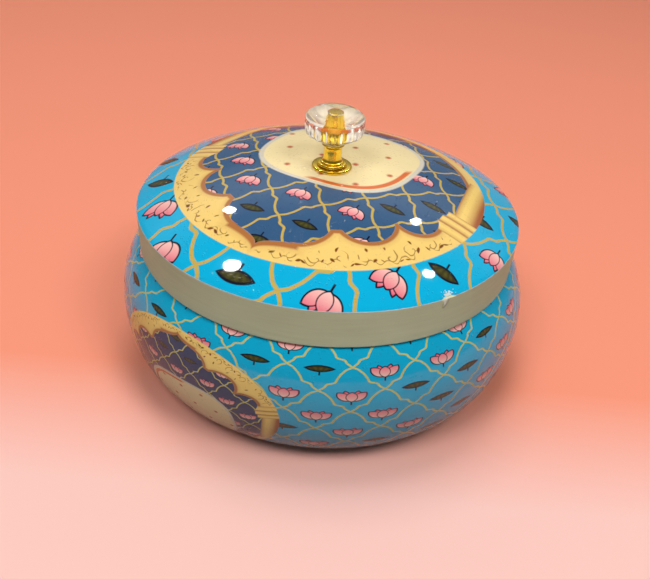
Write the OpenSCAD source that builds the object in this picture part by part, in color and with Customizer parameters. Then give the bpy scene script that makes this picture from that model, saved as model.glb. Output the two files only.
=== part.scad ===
// Round lidded box of papier-mache with a printed and lacquered skin and a
// fluted crystal knob. Millimetres, +Z up, origin at the centre of the base.

/* [Bowl] */
// Height of the seat that the lid rests on
seat_h = 68.8; // [60:0.2:80]
// How far the belly stands out past the lid's edge
belly_out = 9; // [5:0.5:12]
// Height of the belly's widest place
belly_h = 41; // [34:0.5:48]
// Radius of the flat part of the bowl's underside
base_r = 79.5; // [70:0.5:86]
// Fullness of the curve below the belly
belly_power = 2.1; // [1.8:0.05:2.6]
// Thickness of the moulded bowl wall
bowl_wall = 5; // [3.5:0.25:7]
// Width of the seat outside the lid's inner wall
seat_w = 1.5; // [1:0.25:3]

/* [Base disc] */
// Thickness of the pressed disc under the bowl
disc_t = 1.8; // [1.2:0.1:3]
// Width of the printed paper turned in under the bowl
turn_in = 3; // [2:0.5:6]
// Bevel on the disc's lower edge
disc_bevel = 0.6; // [0.3:0.1:1]

/* [Collar] */
// Wall of the collar that locates the lid
collar_t = 4; // [3:0.25:5]
// How far the collar stands up above the seat
collar_up = 10; // [6:0.5:13]
// How far the collar hangs below the bowl's lip
collar_drop = 3; // [2:0.5:6]
// Lead-in bevel at the collar's top
collar_bevel = 1.5; // [0.5:0.25:2]
// Play between the collar and the lid's inner wall
lid_play = 0.5; // [0.35:0.05:1]

/* [Lid] */
// Radius of the lid's upper edge
lid_r = 96; // [88:0.5:104]
// Height of the bare band round the lid
band_h = 19.7; // [15:0.1:24]
// How far the band draws in towards its lower edge
band_draw = 0.7; // [0:0.1:1.5]
// Wall of the band at its upper edge
band_wall = 8; // [7:0.25:9.5]
// Width of the step in the band that carries the dome
step_w = 3.5; // [2.5:0.25:5]
// Rounding of the band's lower edge
band_round = 0.8; // [0.4:0.1:1.2]
// Rise of the dome above the lid's edge
dome_rise = 19.5; // [14:0.5:24]
// Flatness of the dome's middle
dome_power = 2.67; // [2.2:0.05:3]
// Thickness of the moulded dome
dome_wall = 5; // [3.5:0.25:6]

/* [Paper skins] */
// Thickness of the printed and lacquered paper
print_t = 0.6; // [0.4:0.05:1]
// Thickness of the plain paper lining
lining_t = 0.5; // [0.3:0.05:0.8]

/* [Knob base] */
// Radius of the flange
flange_r = 10; // [8.5:0.25:12]
// Thickness of the flange
flange_t = 1.5; // [1:0.1:2.2]
// Radius of the second ring
ring_r = 7.5; // [6.5:0.25:8]
// Height of the second ring
ring_t = 1.6; // [1:0.1:2.2]
// Radius of the stem
stem_r = 4.4; // [4:0.1:5.2]
// Height of the shoulder between the second ring and the stem
shoulder_h = 2.3; // [1.5:0.1:3]
// Whole height of the base, up to the crystal
knob_base_h = 13; // [11:0.25:16]
// Radius of the cup under the crystal
cup_r = 5.6; // [5.5:0.1:6.5]
// Height of the cup's flare
cup_h = 2.6; // [1.5:0.1:3.5]

/* [Crystal] */
// Radius of the crystal
crystal_r = 14.5; // [12:0.25:17]
// Radius of the crystal's seat on the cup
crystal_seat_r = 5.3; // [5:0.1:5.5]
// Height of the tapered underside
taper_h = 6; // [4:0.25:8]
// Height of the upright fluted side
side_h = 8.6; // [6:0.2:11]
// Rise of the shallow top
crown_h = 3; // [2:0.25:4]
// Rounding of the rim between side and top
rim_round = 1.2; // [0.8:0.1:1.6]
// Number of flutes
flutes = 20; // [12:1:24]
// Radius of the wheel that cuts a flute
flute_r = 3.2; // [3:0.1:5]
// Depth of a flute
flute_depth = 0.5; // [0.3:0.05:0.6]

/* [Post and screw] */
// Radius of the post inside the crystal
post_r = 3.7; // [3:0.1:4]
// Glass left above the post
post_cover = 4.2; // [3:0.2:6]
// Radius of the post's spigot in the base
spigot_r = 2.4; // [2:0.1:2.6]
// Length of the spigot
spigot_l = 3.5; // [2.5:0.25:4]
// Play round the post and its spigot
post_play = 0.05; // [0.03:0.01:0.1]
// Radius of the screw's shank
screw_r = 1.5; // [1.2:0.1:2.1]
// How deep the screw goes into the knob's base
screw_depth = 7.5; // [6:0.25:7.75]
// Radius of the screw's head
head_r = 3; // [2.6:0.1:4]
// Height of the screw's head
head_h = 2; // [1.6:0.1:3]
// Radius of the washer
washer_r = 5; // [4.5:0.1:8]
// Thickness of the washer
washer_t = 1; // [0.6:0.1:1.4]
// Play round the screw's shank in the dome
hole_play = 0.3; // [0.2:0.05:0.5]

/* [Hidden] */
$fn = 96;
curve_steps = 16;    // chords in each curved stretch of an outline
big = 200;           // longer than any piece, for cutting

// Radii of the mouth, worked inwards from the lid's edge
mouth_r = lid_r - band_wall;            // inner wall of the lid's band
collar_r = mouth_r - lid_play;          // outer wall of the collar
seat_r = mouth_r + seat_w;              // outer edge of the seat
belly_r = lid_r + belly_out;
step_r = mouth_r + step_w;              // edge of the dome in the band's step

// Heights
foot_h = disc_t - print_t;              // underside of the turned-in print
edge_h = seat_h + band_h;               // the lid's upper edge
lip_h = seat_h - print_t - bowl_wall;   // underside of the bowl's lip
dome_top = edge_h + dome_rise;
under_dome = print_t + dome_wall + lining_t;
knob_seat = dome_top;                   // the flange stands on the print
crystal_seat = knob_seat + knob_base_h;
side_base = crystal_seat + taper_h;
rim_top = side_base + side_h;
crystal_top = rim_top + crown_h;
post_top = crystal_top - post_cover;
screw_hole_r = screw_r + hole_play;

// The bowl's outline: a superellipse quarter below the belly and an ellipse
// quarter above it. a runs from -90 at the foot, over 0 at the belly, to 90
// at the seat.
function bowl_at(a) = a < 0
    ? [base_r + (belly_r - base_r) * pow(cos(a), 2 / belly_power),
       belly_h - (belly_h - foot_h) * pow(-sin(a), 2 / belly_power)]
    : [seat_r + (belly_r - seat_r) * cos(a),
       belly_h + (seat_h - belly_h) * sin(a)];

// Unit normal into the wall at angle a, from two neighbouring points
function bowl_inward(a) =
    let (step = bowl_at(min(a + 0.5, 90)) - bowl_at(max(a - 0.5, -90)))
    [-step.y, step.x] / norm(step);

// The same outline, moved into the wall by depth
function bowl_outline(depth) =
    [for (i = [-curve_steps : curve_steps])
        let (a = 90 * i / curve_steps)
        bowl_at(a) + depth * (abs(i) == curve_steps ? [0, -i / curve_steps] : bowl_inward(a))];

// Everything inside the bowl's outline at that depth, as a half section
module bowl_inside(depth) {
    polygon(concat(
        [[0, foot_h + depth]],
        bowl_outline(depth),
        [[0, seat_h - depth]]));
}

// Height and slope of the dome's outer face at radius r
function dome_at(r) = [r, edge_h + dome_rise * (1 - pow(r / lid_r, dome_power))];
function dome_slope(r) = -dome_rise * dome_power * pow(r / lid_r, dome_power - 1) / lid_r;
function dome_point(r, depth) =
    dome_at(r) + depth * [dome_slope(r), -1] / norm([dome_slope(r), 1]);

// The washer lies flat against the lining, which it meets at its edge
washer_top = dome_point(washer_r, under_dome).y;

// Everything under the dome's outer face at that depth, down to the seat
module dome_inside(depth) {
    edge = dome_point(lid_r, depth);
    polygon(concat(
        [for (i = [0 : curve_steps]) dome_point(lid_r * i / curve_steps, depth)],
        [[lid_r, edge.y], [lid_r, seat_h], [0, seat_h]]));
}

module ring_section(r_in, r_out, z_low, z_high) {
    translate([r_in, z_low]) square([r_out - r_in, z_high - z_low]);
}

module screw_hole(r = screw_hole_r) {
    translate([0, 0, washer_top - big / 2]) cylinder(r = r, h = big);
}

// ---- bowl ----

// Moulded shell: floor, belly and a lip with the seat on it
module bowl_shell() {
    color("BurlyWood")
    rotate_extrude() {
        difference() {
            bowl_inside(print_t);
            bowl_inside(print_t + bowl_wall);
            ring_section(0, collar_r, lip_h - big / 10, seat_h);
        }
        ring_section(collar_r, seat_r, lip_h, seat_h);
    }
}

// Collar glued into the mouth; the lid's band slides over it
module bowl_collar() {
    top = seat_h + collar_up;
    inner = collar_r - collar_t;
    color("Tan")
    rotate_extrude()
        polygon([
            [inner, lip_h - collar_drop],
            [collar_r, lip_h - collar_drop],
            [collar_r, top - collar_bevel],
            [collar_r - collar_bevel / 2, top],
            [inner + collar_bevel / 2, top],
            [inner, top - collar_bevel / 2]]);
}

// Printed paper skin, from the seat down to its edge turned in under the bowl
module bowl_print() {
    color("DeepSkyBlue")
    rotate_extrude()
        difference() {
            bowl_inside(0);
            bowl_inside(print_t);
            ring_section(0, base_r - turn_in, 0, belly_h);
            ring_section(0, seat_r, belly_h, seat_h + big);
        }
}

// Plain lining over the floor and up the inside to the collar
module bowl_lining() {
    color("DarkGoldenrod")
    rotate_extrude()
        difference() {
            bowl_inside(print_t + bowl_wall);
            bowl_inside(print_t + bowl_wall + lining_t);
            ring_section(0, collar_r, belly_h, seat_h);
        }
}

// Pressed disc that the box stands on
module bowl_base() {
    r = base_r - turn_in;
    color("DimGray")
    rotate_extrude()
        polygon([
            [0, 0],
            [r - disc_bevel, 0],
            [r, disc_bevel],
            [r, disc_t],
            [0, disc_t]]);
}

// ---- lid ----

// Bare band, with a step at its top that carries the dome
module lid_rim() {
    low_r = lid_r - band_draw;
    shoulder = dome_point(lid_r, print_t).y;
    step_floor = dome_point(mouth_r, print_t + dome_wall).y - lining_t;
    color("Wheat")
    rotate_extrude()
        difference() {
            intersection() {
                dome_inside(print_t);
                union() {
                    polygon([
                        [mouth_r, seat_h],
                        [low_r - band_round, seat_h],
                        [low_r, seat_h + band_round],
                        [lid_r, shoulder],
                        [lid_r, dome_top],
                        [mouth_r, dome_top]]);
                    translate([low_r - band_round, seat_h + band_round]) circle(r = band_round);
                }
            }
            ring_section(0, step_r, step_floor, dome_top);
        }
}

// Moulded dome, seated in the band's step
module lid_dome() {
    step_floor = dome_point(mouth_r, print_t + dome_wall).y - lining_t;
    color("BurlyWood")
    difference() {
        rotate_extrude()
            difference() {
                intersection() {
                    dome_inside(print_t);
                    ring_section(0, step_r, step_floor, dome_top);
                }
                intersection() {
                    dome_inside(print_t + dome_wall);
                    ring_section(0, mouth_r, seat_h, dome_top);
                }
            }
        screw_hole();
    }
}

// Printed paper skin over the dome and the band's top
module lid_print() {
    color("DeepSkyBlue")
    difference() {
        rotate_extrude()
            difference() {
                dome_inside(0);
                dome_inside(print_t);
            }
        screw_hole();
    }
}

// Plain lining under the dome
module lid_lining() {
    color("DarkGoldenrod")
    difference() {
        rotate_extrude()
            intersection() {
                difference() {
                    dome_inside(print_t + dome_wall);
                    dome_inside(under_dome);
                }
                ring_section(0, mouth_r, seat_h + band_h / 2, dome_top);
            }
        screw_hole();
    }
}

// ---- knob ----

// Turned and plated base: stepped flange, shoulder, stem and cup
module knob_base() {
    ring_top = flange_t + ring_t;
    edge = flange_t / 2;
    bead = ring_t / 2;
    color("Gold")
    difference() {
        translate([0, 0, knob_seat])
            rotate_extrude() {
                ring_section(0, flange_r - edge, 0, flange_t);
                translate([flange_r - edge, edge]) circle(r = edge);
                ring_section(0, ring_r - bead, 0, ring_top);
                translate([ring_r - bead, flange_t + bead]) circle(r = bead);
                polygon([
                    [0, 0],
                    [ring_r - 2 * bead, 0],
                    [ring_r - 2 * bead, ring_top],
                    [stem_r, ring_top + shoulder_h],
                    [stem_r, knob_base_h - cup_h],
                    [cup_r, knob_base_h - cup_h / 4],
                    [cup_r, knob_base_h],
                    [0, knob_base_h]]);
            }
        // blind hole for the screw
        translate([0, 0, knob_seat - 1])
            cylinder(r = screw_r + post_play, h = 1 + screw_depth + 0.5);
        // socket for the post
        translate([0, 0, crystal_seat - spigot_l - post_play])
            cylinder(r = spigot_r + post_play, h = spigot_l + 1);
    }
}

// Plated post that shows through the glass
module knob_post() {
    bevel = post_r / 5;
    color("Goldenrod")
    rotate_extrude()
        polygon([
            [0, crystal_seat - spigot_l],
            [spigot_r, crystal_seat - spigot_l],
            [spigot_r, crystal_seat],
            [post_r, crystal_seat],
            [post_r, post_top - bevel],
            [post_r - bevel, post_top],
            [0, post_top]]);
}

// Half section of the glass before it is fluted: a taper, a rounded rim and a
// shallow crown. Its side flares past the flutes, which trim it.
module crystal_section() {
    crown_r = (pow(crystal_r, 2) + pow(crown_h, 2)) / (2 * crown_h);
    rim = crystal_r - rim_round;
    flare = [rim_round, rim_round * taper_h / (crystal_r - crystal_seat_r)];
    intersection() {
        polygon(concat(
            [[0, crystal_seat], [crystal_seat_r, crystal_seat]],
            [[crystal_r, side_base] + flare],
            [[crystal_r + rim_round, rim_top - 2 * rim_round]],
            [for (a = [10 : 20 : 90])
                [rim + rim_round * cos(a), rim_top - rim_round * (1 - sin(a))]],
            [[rim, crystal_top + 1], [0, crystal_top + 1]]));
        translate([0, crystal_top - crown_r]) circle(r = crown_r, $fn = 360);
        ring_section(0, big, 0, big);
    }
}

// Plan of the fluted side
module fluted_plan() {
    difference() {
        circle(r = crystal_r);
        for (i = [0 : flutes - 1])
            rotate((i + 0.5) * 360 / flutes)
                translate([crystal_r - flute_depth + flute_r, 0]) circle(r = flute_r);
    }
}

// Crystal, fluted round its side, with a blind bore for the post
module knob_crystal() {
    color("Azure", 0.6)
    difference() {
        intersection() {
            rotate_extrude() crystal_section();
            translate([0, 0, crystal_seat - 1])
                linear_extrude(crystal_top - crystal_seat + 2) fluted_plan();
        }
        translate([0, 0, crystal_seat - 1])
            cylinder(r = post_r + post_play, h = post_top + post_play - crystal_seat + 1);
    }
}

// Pan-head screw that clamps the knob through the dome
module knob_screw() {
    head_top = washer_top - washer_t;
    color("Silver")
    rotate_extrude() {
        ring_section(0, screw_r, head_top - head_h, knob_seat + screw_depth);
        ring_section(0, head_r, head_top - head_h / 2, head_top);
        ring_section(0, head_r - head_h / 2, head_top - head_h, head_top);
        intersection() {
            translate([head_r - head_h / 2, head_top - head_h / 2]) circle(r = head_h / 2);
            ring_section(0, head_r, head_top - head_h, head_top);
        }
    }
}

// Washer that spreads the screw's load over the lining
module knob_washer() {
    color("LightGray")
    difference() {
        translate([0, 0, washer_top - washer_t]) cylinder(r = washer_r, h = washer_t);
        screw_hole(screw_r + post_play);
    }
}

bowl_shell();
bowl_collar();
bowl_print();
bowl_lining();
bowl_base();
lid_rim();
lid_dome();
lid_print();
lid_lining();
knob_base();
knob_post();
knob_crystal();
knob_screw();
knob_washer();
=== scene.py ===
# %% [markdown]
# # A round papier-mache box with a crystal knob
#
# The box is moulded from paper pulp. Printed paper is pasted over the bowl and
# the dome of the lid and lacquered until it shines. A bare band of pulp runs
# round the lid, and a cut crystal on a gold base is its knob. The CAD model is
# loaded first: it fixes every size and every place, and this script gives it
# its looks. The box's own sizes are written in mm, and MM makes them metres.
# The camera, the floor, the lamps and the depths of relief are in metres.

# %% Load the frame
import math

import bpy
from mathutils import Matrix, Vector


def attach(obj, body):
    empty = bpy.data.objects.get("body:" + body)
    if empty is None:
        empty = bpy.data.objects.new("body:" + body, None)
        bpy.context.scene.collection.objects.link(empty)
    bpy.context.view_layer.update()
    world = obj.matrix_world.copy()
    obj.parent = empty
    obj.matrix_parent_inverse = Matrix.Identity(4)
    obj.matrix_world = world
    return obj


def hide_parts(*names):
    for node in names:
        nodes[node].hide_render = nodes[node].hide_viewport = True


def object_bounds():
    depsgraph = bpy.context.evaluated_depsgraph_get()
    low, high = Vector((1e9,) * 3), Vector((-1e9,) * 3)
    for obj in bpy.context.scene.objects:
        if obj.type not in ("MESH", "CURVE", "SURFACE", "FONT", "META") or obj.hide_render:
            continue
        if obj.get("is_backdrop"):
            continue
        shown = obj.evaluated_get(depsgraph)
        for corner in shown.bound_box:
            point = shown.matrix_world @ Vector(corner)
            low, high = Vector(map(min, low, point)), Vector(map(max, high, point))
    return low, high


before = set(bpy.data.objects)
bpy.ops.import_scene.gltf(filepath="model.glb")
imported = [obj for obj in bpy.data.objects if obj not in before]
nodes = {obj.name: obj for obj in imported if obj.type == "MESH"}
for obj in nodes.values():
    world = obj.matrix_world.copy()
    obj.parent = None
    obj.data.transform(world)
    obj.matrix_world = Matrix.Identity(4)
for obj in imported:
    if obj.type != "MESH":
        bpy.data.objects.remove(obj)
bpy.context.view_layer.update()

MM = 0.001

# %% [markdown]
# ## The camera
# The camera comes first, because it decides what has to look right. A camera
# is described by where it stands, what it looks at, its lens and its roll.
# These were fitted to the lid's and the bowl's outlines in the photograph,
# which was taken by hand and leans a little, so the roll isn't zero.

# %% Camera
CAMERA_PLACE = Vector((0.0, -0.3805, 0.2930))
CAMERA_TARGET = Vector((0.00141, 0.0, 0.0342))
CAMERA_LENS = 46.73
CAMERA_ROLL = math.radians(4.44)
IMAGE_W, IMAGE_H = 650, 579
SENSOR_W = 36.0
STRAIGHT_BACK = Vector((0, 1, 0))


def aim(place, target, roll=0.0):
    """A matrix that looks from place to target, turned by roll."""
    turn = (target - place).to_track_quat("-Z", "Y").to_matrix().to_4x4()
    return Matrix.Translation(place) @ turn @ Matrix.Rotation(roll, 4, "Z")


camera = bpy.data.objects.new("camera", bpy.data.cameras.new("camera"))
bpy.context.scene.collection.objects.link(camera)
camera.data.lens = CAMERA_LENS
camera.data.sensor_width = SENSOR_W
camera.data.clip_start = 0.01
camera.matrix_world = aim(CAMERA_PLACE, CAMERA_TARGET, CAMERA_ROLL)
bpy.context.scene.camera = camera
bpy.context.scene.view_settings.view_transform = "Standard"
looks_down = (CAMERA_TARGET - CAMERA_PLACE).angle(STRAIGHT_BACK)
print("camera looks down", round(math.degrees(looks_down), 1), "degrees")

# %% [markdown]
# ## Node maths as plain expressions
# A printed pattern is maths on coordinates. Wiring Math nodes by hand is slow
# to write and slower to read, so a small class wraps one socket, and Python's
# own signs add the nodes. A distance is turned into a mask by inside and
# outside, which leave a soft edge as wide as their blur.

# %% A socket that can be calculated with
class Socket:
    """One output socket of a node tree."""

    def __init__(self, finish, socket):
        self.finish, self.socket = finish, socket

    def math(self, operation, *others, clamp=False):
        return self.finish.add("ShaderNodeMath",
                               {"operation": operation, "use_clamp": clamp},
                               dict(enumerate((self,) + others)))

    def __add__(self, other):
        return self.math("ADD", other)

    def __sub__(self, other):
        return self.math("SUBTRACT", other)

    def __rsub__(self, other):
        return self.finish.add("ShaderNodeMath", {"operation": "SUBTRACT"},
                               {0: other, 1: self})

    def __mul__(self, other):
        return self.math("MULTIPLY", other)

    def __truediv__(self, other):
        return self.math("DIVIDE", other)

    def __abs__(self):
        return self.math("ABSOLUTE")

    __radd__, __rmul__ = __add__, __mul__

    def least(self, other):
        return self.math("MINIMUM", other)

    def most(self, other):
        return self.math("MAXIMUM", other)

    def inside(self, blur):
        """1 where this distance is below zero and 0 where it is above."""
        return self.math("MULTIPLY_ADD", -1 / blur, 0.5, clamp=True)

    def outside(self, blur):
        """0 where this distance is below zero and 1 where it is above."""
        return self.math("MULTIPLY_ADD", 1 / blur, 0.5, clamp=True)

    def vector_math(self, operation, other=None):
        inputs = {0: self} if other is None else {0: self, 1: other}
        output = 1 if operation in ("LENGTH", "DISTANCE", "DOT_PRODUCT") else 0
        return self.finish.add("ShaderNodeVectorMath", {"operation": operation},
                               inputs, output)


print("sockets understand + - * / and abs")

# %% [markdown]
# ## A finish
# A finish is what one material of the box looks like. Every node of it comes
# from one method, add, and a few short methods name what most finishes need:
# a blend of two inks, noise, relief and the surface itself.

# %% A finish: one material and its nodes
class Finish:
    """A material, or the world, that is being mixed."""

    def __init__(self, name, world=None):
        self.material = world or bpy.data.materials.new(name)
        self.material.use_nodes = True
        self.tree = self.material.node_tree
        self.tree.nodes.clear()
        self.place = self.add("ShaderNodeTexCoord",
                              output="Generated" if world else "Object")

    def add(self, kind, settings=None, inputs=None, output=0):
        """Any node: its settings first, then the values or links it takes."""
        node = self.tree.nodes.new(kind)
        for name, value in (settings or {}).items():
            if name == "curve":
                curve = node.mapping.curves[0]
                for x, y in value[1:-1]:
                    curve.points.new(x, y)
                for spot, (x, y) in zip(curve.points, value):
                    spot.location = (x, y)
                    spot.handle_type = "VECTOR"
                node.mapping.update()
            else:
                setattr(node, name, value)
        for name, value in (inputs or {}).items():
            if isinstance(value, Socket):
                self.tree.links.new(value.socket, node.inputs[name])
            else:
                node.inputs[name].default_value = value
        return Socket(self, node.outputs[output])

    def blend(self, low, high, factor):
        """From colour low, where factor is 0, to colour high, where it is 1."""
        return self.add("ShaderNodeMix",
                        {"data_type": "RGBA", "clamp_factor": True},
                        {0: factor, 6: low, 7: high}, 2)

    def choose(self, low, high, factor):
        """The same for two numbers."""
        return self.add("ShaderNodeMix", {"data_type": "FLOAT"},
                        {0: factor, 2: low, 3: high}, 0)

    def curve(self, path, value):
        """What a path of points gives for a value from 0 to 1."""
        return self.add("ShaderNodeFloatCurve", {"curve": path}, {"Value": value})

    def pair(self, x, y):
        """A vector of two numbers, for vector maths."""
        return self.add("ShaderNodeCombineXYZ", inputs={0: x, 1: y})

    def parts(self, vector):
        """The x, y and z of a vector."""
        x = self.add("ShaderNodeSeparateXYZ", inputs={0: vector})
        outputs = x.socket.node.outputs
        return x, Socket(self, outputs[1]), Socket(self, outputs[2])

    def noise(self, scale, detail=3.0, stretch=None, rough=0.5):
        """Noise whose scale is in lumps per metre."""
        place = self.place
        if stretch:
            place = place.vector_math("MULTIPLY", stretch)
        return self.add("ShaderNodeTexNoise", {"noise_dimensions": "3D"},
                        {"Vector": place, "Scale": scale, "Detail": detail,
                         "Roughness": rough})

    def relief(self, height, depth, strength=1.0, below=None):
        """A bump whose full height is depth, in metres."""
        inputs = {"Height": height, "Distance": depth, "Strength": strength}
        if below:
            inputs["Normal"] = below
        return self.add("ShaderNodeBump", inputs=inputs)

    def surface(self, **sockets):
        """A shader, not yet the output. Names use _ for a blank."""
        return self.add("ShaderNodeBsdfPrincipled", inputs={
            name.replace("_", " "): value for name, value in sockets.items()})

    def coat(self, **sockets):
        """The finished material."""
        self.add_output(self.surface(**sockets))
        return self.material

    def add_output(self, shader, kind="ShaderNodeOutputMaterial"):
        out = self.tree.nodes.new(kind)
        self.tree.links.new(shader.socket, out.inputs["Surface"])


def ink(red, green, blue):
    """A colour given from 0 to 255, as the linear numbers Blender wants."""
    def linear(c):
        c /= 255
        return c / 12.92 if c <= 0.04045 else ((c + 0.055) / 1.055) ** 2.4
    return (linear(red), linear(green), linear(blue), 1.0)


print("a finish can be mixed; mid grey is", round(ink(128, 128, 128)[0], 3))

# %% [markdown]
# ## The floor
# The box stands on plain paper, salmon behind it and paler towards the viewer.
# A picture of paper could be laid on a plane, but two blended inks and a fine
# grain do the same at any size. Camera, glossy and transmission rays meet that
# paper. Diffuse rays meet a darker one: the bowl's underside is dark in the
# photograph, and a pale floor would light it from below.

# %% Floor
FLOOR_BACK, FLOOR_FRONT = ink(255, 158, 130), ink(255, 206, 198)
FLOOR_BOUNCE = ink(92, 70, 58)
PALE_FROM, PALE_OVER = 0.035, 0.085     # metres in front of the box's middle
GRAIN_SHARE = 0.1
FLOOR_SIZE, FLOOR_DOWN = 6.0, 0.0002

floor_finish = Finish("floor_paper")
floor_grain = floor_finish.noise(900.0, 2.0)
_, floor_y, _ = floor_finish.parts(floor_finish.place)
nearness = (floor_y * -1 - PALE_FROM) / PALE_OVER
floor_paint = floor_finish.blend(FLOOR_BACK, FLOOR_FRONT,
                                 nearness + floor_grain * GRAIN_SHARE)
looked_at = 0.0
for kind_of_ray in ("Is Camera Ray", "Is Glossy Ray", "Is Transmission Ray"):
    looked_at = floor_finish.add("ShaderNodeLightPath", output=kind_of_ray) + looked_at
floor_paint = floor_finish.blend(FLOOR_BOUNCE, floor_paint, looked_at)
floor_finish.coat(Base_Color=floor_paint, Roughness=0.9, Specular_IOR_Level=0.1)

floor_mesh = bpy.data.meshes.new("floor")
half = FLOOR_SIZE / 2
floor_mesh.from_pydata([(-half, -half, 0), (half, -half, 0), (half, half, 0),
                        (-half, half, 0)], [], [(0, 1, 2, 3)])
floor = bpy.data.objects.new("floor", floor_mesh)
bpy.context.scene.collection.objects.link(floor)
floor.location.z = -FLOOR_DOWN
floor_mesh.materials.append(floor_finish.material)
floor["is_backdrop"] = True
print("floor laid:", FLOOR_SIZE, "m")

# %% [markdown]
# ## The room
# A lacquered box mirrors whatever stands round it. A picture of a room would
# lay foreign shapes on it, so the world is a gradient: pale walls, dimmer in
# front, and a dim ceiling, because a bright one would lie on the lacquer like
# milk and grey its blue. One bright stretch high on the back wall is what the
# gold's flat rings mirror.

# %% World
WALL_LIGHT, CEILING_LIGHT = 0.18, 0.12
SIDE_SHARE, BACK_SHARE = 0.8, 0.3
WINDOW_HEIGHT, WINDOW_HALF, WINDOW_FROM, WINDOW_LIGHT = 0.58, 0.22, 0.3, 6.5

world = bpy.data.worlds.new("studio")
bpy.context.scene.world = world
studio = Finish("studio", world)
_, to_back, to_top = studio.parts(studio.place)
lowness = 1 - to_top.most(0.0)
wall = lowness * lowness * WALL_LIGHT * (to_back * BACK_SHARE + SIDE_SHARE) + CEILING_LIGHT
window = ((WINDOW_HALF - abs(to_top - WINDOW_HEIGHT)).most(0.0)
          * (to_back - WINDOW_FROM).most(0.0))
glow = studio.add("ShaderNodeBackground",
                  inputs={"Color": ink(255, 250, 246),
                          "Strength": wall + window * WINDOW_LIGHT})
studio.add_output(glow, "ShaderNodeOutputWorld")
print("walls at", WALL_LIGHT + CEILING_LIGHT, "and ceiling at", CEILING_LIGHT)

# %% [markdown]
# ## The form of the dome and the bowl
# Both are turned, and each outline is a formula: a power curve for the dome,
# a quarter ellipse above the belly and a fuller curve below it. The CAD was
# drawn from the same formulas, so their sizes are repeated here. The lamps
# need them as well, because their spots lie on the dome.

# %% The dome and the bowl in numbers
LID_R, EDGE_H, DOME_RISE, DOME_POWER = 96.0, 88.5, 19.5, 2.67
BASE_R, BELLY_R, SEAT_R = 79.5, 105.0, 89.5
BELLY_H, SEAT_H, FOOT_H, BELLY_POWER = 41.0, 68.8, 1.2, 2.1
PRINT_T, TURN_IN = 0.6, 3.0


def dome_height(r):
    """Height of the dome's outer face at radius r, in mm."""
    return EDGE_H + DOME_RISE * (1 - (r / LID_R) ** DOME_POWER)


def dome_normal(x, y):
    """Which way the dome faces at a point, both in mm."""
    r = math.hypot(x, y)
    slope = DOME_RISE * DOME_POWER * (r / LID_R) ** (DOME_POWER - 1) / LID_R
    return Vector((slope * x / r, slope * y / r, 1)).normalized()


def bowl_point(a):
    """Radius and height of the bowl's outline; a goes from -90 to 90."""
    c, s = math.cos(math.radians(a)), math.sin(math.radians(a))
    c = max(c, 0.0)
    if a < 0:
        return (BASE_R + (BELLY_R - BASE_R) * c ** (2 / BELLY_POWER),
                BELLY_H - (BELLY_H - FOOT_H) * (-s) ** (2 / BELLY_POWER))
    return (SEAT_R + (BELLY_R - SEAT_R) * c,
            BELLY_H + (SEAT_H - BELLY_H) * s)


print("dome top at", dome_height(0), "mm, belly at", bowl_point(0), "mm")

# %% [markdown]
# ## Lamps
# Three soft lamps light the box from above and from both sides in front. A
# glossy surface shows a lamp where the camera's ray, mirrored there, meets it.
# The four white spots on the lacquer could be found by moving lamps about;
# here each spot's ray is mirrored on the dome, and its lamp hangs on that line.
# Two more lamps are seen only through glass: the crystal gathers them as cut
# glass does, and they would grey the lacquer.

# %% Lamps
NEAREST, FARTHEST, HALVINGS = 0.25, 0.75, 40
LAMP_TINT = (1, 0.98, 0.95)
# What a lamp reaches: matt surfaces, gloss, and what is seen through glass
SOFT, SPOT, GLASS = (True, False, True), (False, True, True), (False, False, True)
# Each spot: the pixel it shines at, and the size of its lamp
SPOTS = {"spot_left": (229, 210, 0.085), "spot_right": (416, 222, 0.075),
         "spot_front_left": (231, 265, 0.13), "spot_front_right": (429, 274, 0.09)}
SPOT_FAR, SPOT_GLARE = 1.6, 230.0
# Each other lamp: its place, its size, its power in watts and what it reaches
ROOM_LAMPS = {"overhead": ((-0.1, 0.35, 1.9), 0.9, 11, SOFT),
              "front_left_key": ((-0.5, -0.95, 1.6), 0.7, 12, SOFT),
              "front_right_key": ((0.7, -0.85, 1.6), 0.7, 12, SOFT),
              "crystal_sky_left": ((-0.6, 0.1, 1.2), 1.0, 10, GLASS),
              "crystal_sky_right": ((0.7, -0.2, 1.2), 0.7, 5, GLASS)}
BOX_MIDDLE = Vector((0, 0, 0.05))


def pixel_ray(px, py):
    """The direction in which the camera looks through a pixel."""
    across = (px - IMAGE_W / 2) / IMAGE_W * SENSOR_W
    up = (IMAGE_H / 2 - py) / IMAGE_W * SENSOR_W
    ray = Vector((across, up, -CAMERA_LENS))
    return (camera.matrix_world.to_3x3() @ ray).normalized()


def on_dome(ray):
    """Where a camera ray meets the dome, in mm, by halving steps."""
    near, far = NEAREST, FARTHEST
    for _ in range(HALVINGS):
        mid = (near + far) / 2
        p = (CAMERA_PLACE + ray * mid) / MM
        if p.z > dome_height(min(math.hypot(p.x, p.y), LID_R)):
            near = mid
        else:
            far = mid
    return p


def lamp(name, place, target, size, power, reaches):
    """A round lamp that looks from place to target."""
    light = bpy.data.lights.new(name, "AREA")
    light.shape = "DISK"
    light.size = size
    light.energy = power
    light.color = LAMP_TINT
    thing = bpy.data.objects.new(name, light)
    bpy.context.scene.collection.objects.link(thing)
    thing.matrix_world = aim(place, target)
    thing.visible_diffuse, thing.visible_glossy, thing.visible_transmission = reaches


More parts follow.
